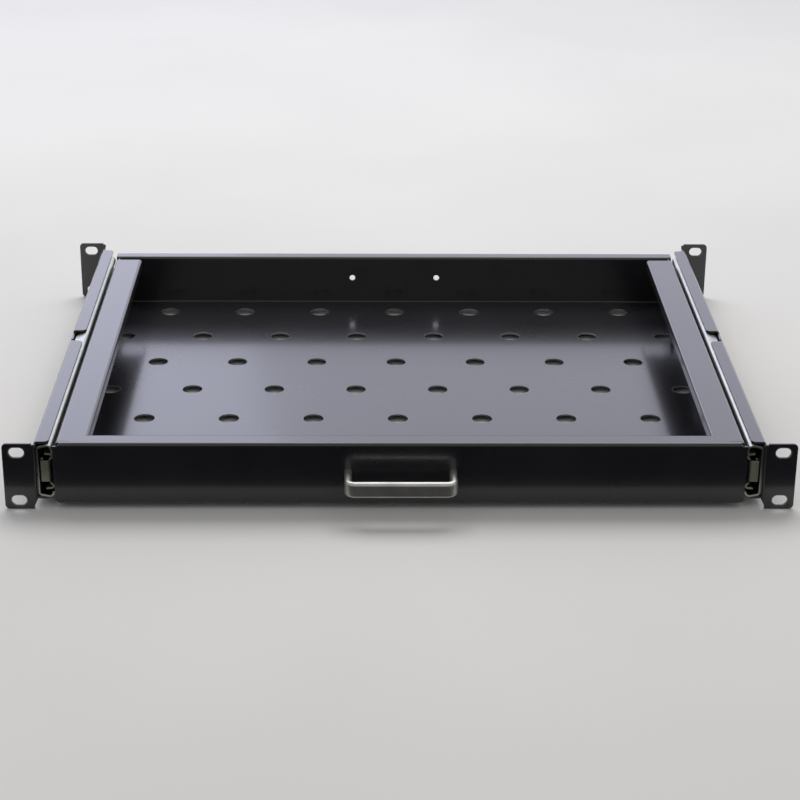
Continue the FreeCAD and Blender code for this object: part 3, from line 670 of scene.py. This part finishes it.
pattern = grown("floor_hole_pattern", staggered_points(), {
    "Pitch X": HOLE_PITCH_X, "Pitch Y": HOLE_PITCH_Y, "Rows": HOLE_ROWS, "In Row": HOLES_IN_LONG_ROW,
    "Middle": (0.0, HOLES_MIDDLE_Y, FLOOR_MIDDLE_Z)}, [])
hole_places = [tuple(vertex.co) for vertex in pattern.data.vertices]
bpy.data.objects.remove(pattern)
coat_rims("floor_hole_rims", "tray", HOLE_DIAMETER, HOLE_DIAMETER, TRAY_SHEET, hole_places, (0, 0, 1))

# Tray screws
# Low pan-head screws, zinc plated, from inside the tray through its walls into the pads of the
# inner members, three to a side.
TRAY_SCREW_RISE = 1.8 * MM


def inwards(place):
    """The way from the side where a place is to the middle of the rack."""
    return -outwards(place)


screws("tray_screws", "tray_slide_screws", "tray", TRAY_SCREW_RISE, SCREW_SHANK, inwards)

# Pull handle
# A bow of flat bar with rounded edges, plated in satin nickel and brushed along its length, held
# by two screws from behind the front wall.
HANDLE_EDGE = 0.12 * MM
HANDLE_SCREW_RISE = 1.8 * MM
HANDLE_SCREW_SHANK = 3.0 * MM
NICKEL_TONES = ((0.62, 0.615, 0.60, 1.0), (0.78, 0.775, 0.76, 1.0))
NICKEL_ROUGHNESS = (0.33, 0.50)
NICKEL_CLOUDS_PER_METRE = 90.0
BRUSHED_GRAIN = (40.0, 40.0, 5200.0)
BRUSHED_HEIGHT = 0.006 * MM


def satin_nickel():
    """Nickel plate brushed along the bar, with a faint cloudiness."""
    material, tree = finish_of("satin_nickel_plate")
    place = own_place(tree)
    brushed = add(tree, "ShaderNodeMapping", {"Vector": place, "Scale": BRUSHED_GRAIN}).outputs["Vector"]
    lines = noise(tree, brushed, detail=4.0, roughness=0.7)
    cloud = noise(tree, place, NICKEL_CLOUDS_PER_METRE, detail=4.0)
    close_finish(tree, {
        "Base Color": tones_between(tree, cloud, NICKEL_TONES, start=0.3, end=0.7),
        "Metallic": 1.0,
        "Roughness": spread(tree, lines, NICKEL_ROUGHNESS),
        "Normal": bumps(tree, lines, strength=0.25, height=BRUSHED_HEIGHT),
    })
    return material


def rearwards(place):
    """The way to the rear, the same from every place."""
    return Vector((0.0, 1.0, 0.0))


dress("pull_handle", HANDLE_EDGE, satin_nickel())
screws("handle_pan_screws", "handle_screws", "tray", HANDLE_SCREW_RISE, HANDLE_SCREW_SHANK, rearwards)

# Studio
# A plain pale floor under the ears and a white backdrop behind it. Cool softboxes stand low at the
# back, brighter on the left, a warm one hangs over it, and a dark card in front, seen only in
# reflections, paints a dark reflection into the shelf's front faces.
FLOOR_GAP = 0.005 * MM
FLOOR_Z = cad_box[0].z - FLOOR_GAP
FLOOR_HALF = 4.0
PAPER_TONES = ((0.84, 0.84, 0.84, 1.0), (0.89, 0.89, 0.885, 1.0))
PAPER_FIBRES_PER_METRE = 3.0
PAPER_ROUGHNESS = 0.9
PAPER_SHINE = 0.1
BACKDROP_Y = 2.4
BACKDROP_TOP = 2.1
BACKDROP_WHITE = (0.87, 0.88, 1.0, 1.0)
BACKDROP_GREY = PAPER_TONES[0]
FELT_BLACK = (0.01, 0.01, 0.01, 1.0)
CARD_FRONT = -0.90
CARD_REAR = -0.030
CARD_HALF = 0.60
CARD_LIFT = 0.5 * MM
BACK_TINT = (0.74, 0.76, 1.0)
TOP_TINT = (1.0, 0.975, 0.93)
SOFTBOXES = (
    ("softbox_back", (0.0, 1.75, 0.95), (3.4, 1.3), 0.31, BACK_TINT),
    ("softbox_left", (-0.75, 1.75, 0.95), (1.3, 1.3), 0.66, BACK_TINT),
    ("softbox_top", (0.0, 1.00, 1.55), (1.8, 0.9), 2.9, TOP_TINT),
)
SOFTBOX_AIM = Vector((0.0, 0.18, 0.0))
ROOM_TINT = (1.0, 0.99, 0.98, 1.0)
ROOM_LEVEL = 0.42


def sheet_on_stage(name, corners, finish):
    """Flat stage piece between four corners."""
    mesh = bpy.data.meshes.new(name)
    mesh.from_pydata(corners, [], [(0, 1, 2, 3)])
    mesh.materials.append(finish)
    made = bpy.data.objects.new(name, mesh)
    bpy.context.scene.collection.objects.link(made)
    return made


def level(half_x, front, rear, z):
    """Corners of a level rectangle."""
    return [(-half_x, front, z), (half_x, front, z), (half_x, rear, z), (-half_x, rear, z)]


paper, tree = finish_of("pale_paper")
fibre = noise(tree, own_place(tree), PAPER_FIBRES_PER_METRE, detail=3.0)
close_finish(tree, {
    "Base Color": tones_between(tree, fibre, PAPER_TONES, start=0.3, end=0.7),
    "Roughness": PAPER_ROUGHNESS,
    "Specular IOR Level": PAPER_SHINE,
})
sheet_on_stage("pale_floor", level(FLOOR_HALF, -FLOOR_HALF, FLOOR_HALF, FLOOR_Z), paper)

cloth, tree = finish_of("white_backdrop_cloth")
rays = add(tree, "ShaderNodeLightPath").outputs
mirrored = work_out(tree, "ADD", rays["Is Glossy Ray"], rays["Is Transmission Ray"])
seen = work_out(tree, "MINIMUM", work_out(tree, "ADD", rays["Is Camera Ray"], mirrored), 1.0)
dull = add(tree, "ShaderNodeBsdfDiffuse", {"Color": BACKDROP_GREY})
white = add(tree, "ShaderNodeEmission", {"Color": BACKDROP_WHITE, "Strength": 1.0})
shown = add(tree, "ShaderNodeMixShader", {0: seen, 1: dull.outputs[0], 2: white.outputs[0]})
add(tree, "ShaderNodeOutputMaterial", {"Surface": shown.outputs[0]})
sheet_on_stage("white_backdrop", [
    (-FLOOR_HALF, BACKDROP_Y, FLOOR_Z), (FLOOR_HALF, BACKDROP_Y, FLOOR_Z),
    (FLOOR_HALF, BACKDROP_Y, BACKDROP_TOP), (-FLOOR_HALF, BACKDROP_Y, BACKDROP_TOP)], cloth)

felt, tree = finish_of("black_felt")
close_finish(tree, {"Base Color": FELT_BLACK, "Roughness": 1.0, "Specular IOR Level": 0.0})
# The card is hidden from the camera, from diffuse light and from shadows: it is seen only in reflections,
# as a painted dark reflection in the shelf's front faces.
card = sheet_on_stage("front_card_seen_only_in_reflections", level(CARD_HALF, CARD_FRONT, CARD_REAR, FLOOR_Z + CARD_LIFT), felt)
card.visible_camera = False
card.visible_diffuse = False
card.visible_shadow = False

for name, place, (width, height), radiance, tint in SOFTBOXES:
    lamp = bpy.data.lights.new(name, "AREA")
    lamp.shape = "RECTANGLE"
    lamp.size = width
    lamp.size_y = height
    lamp.energy = radiance * width * height * math.pi
    lamp.color = tint
    box = bpy.data.objects.new(name, lamp)
    box.location = place
    box.rotation_euler = (SOFTBOX_AIM - Vector(place)).to_track_quat("-Z", "Y").to_euler()
    box.visible_camera = False
    bpy.context.scene.collection.objects.link(box)

world = bpy.data.worlds.new("soft_room")
world.use_nodes = True
tree = world.node_tree
tree.nodes.clear()
room = add(tree, "ShaderNodeBackground", {"Color": ROOM_TINT, "Strength": ROOM_LEVEL}).outputs[0]
add(tree, "ShaderNodeOutputWorld", {"Surface": room})
bpy.context.scene.world = world

# Camera
# In front of the shelf, a little left of its middle, looking down by 23 degrees with a long lens.
CAMERA_PLACE = Vector((-19.704, -1142.548, 540.972)) * MM
CAMERA_DOWN = math.radians(23.217)
CAMERA_YAW = math.radians(0.949)
CAMERA_ROLL = math.radians(-0.422)
CAMERA_LENS = 93.403
CAMERA_SENSOR = 36.0
CAMERA_NEAREST = 0.01

ahead = Vector((math.sin(CAMERA_YAW) * math.cos(CAMERA_DOWN),
                math.cos(CAMERA_YAW) * math.cos(CAMERA_DOWN), -math.sin(CAMERA_DOWN)))
right = Vector((math.cos(CAMERA_YAW), -math.sin(CAMERA_YAW), 0.0))
up = right.cross(ahead)
rolled_right = right * math.cos(CAMERA_ROLL) - up * math.sin(CAMERA_ROLL)
rolled_up = right * math.sin(CAMERA_ROLL) + up * math.cos(CAMERA_ROLL)
lens = bpy.data.cameras.new("front_camera")
lens.lens = CAMERA_LENS
lens.sensor_width = CAMERA_SENSOR
lens.sensor_fit = "HORIZONTAL"
lens.clip_start = CAMERA_NEAREST
camera = bpy.data.objects.new("front_camera", lens)
camera.matrix_world = Matrix.Translation(CAMERA_PLACE) @ Matrix(
    (rolled_right, rolled_up, -ahead)).transposed().to_4x4()
bpy.context.scene.collection.objects.link(camera)
bpy.context.scene.camera = camera
bpy.context.scene.view_settings.view_transform = "Standard"
